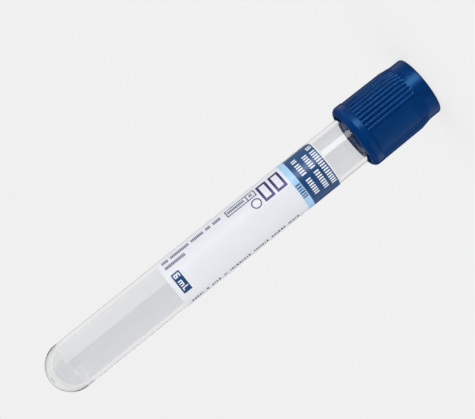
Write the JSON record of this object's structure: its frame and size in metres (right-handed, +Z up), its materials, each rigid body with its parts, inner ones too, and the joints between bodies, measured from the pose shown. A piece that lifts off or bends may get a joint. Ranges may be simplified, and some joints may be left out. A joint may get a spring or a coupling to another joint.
{
  "type": "blood collection tube",
  "caption": "Clear round-bottomed blood collection tube with a wrapped label, closed by a rubber stopper inside a ribbed blue safety cap.",
  "frame": {"origin": "the middle of the cap's flat top, on the surface that the closed tube stands on", "axes": "+Z up, along the tube's axis from its cap to its round end, as the tube stands on its cap; -Y the side that the front of the label faces; +X to its side"},
  "size_m": [0.0166, 0.0166, 0.1087],
  "materials": {
    "clear_plastic": "clear, glossy, moulded",
    "label": "white, printed with navy and light blue fields, smooth",
    "cap_plastic": "royal blue, satin, moulded, with a fine grain",
    "rubber": "dark slate, matt"
  },
  "bodies": {
    "closure": {"cap": "cap_plastic", "stopper": "rubber"},
    "vial": {"tube": "clear_plastic", "label": "label"}
  },
  "joints": [
    {"name": "tube_pull", "type": "slide", "parent": "closure", "child": "vial", "axis": [0, 0, 1], "range_m": [0, 0.025]}
  ]
}
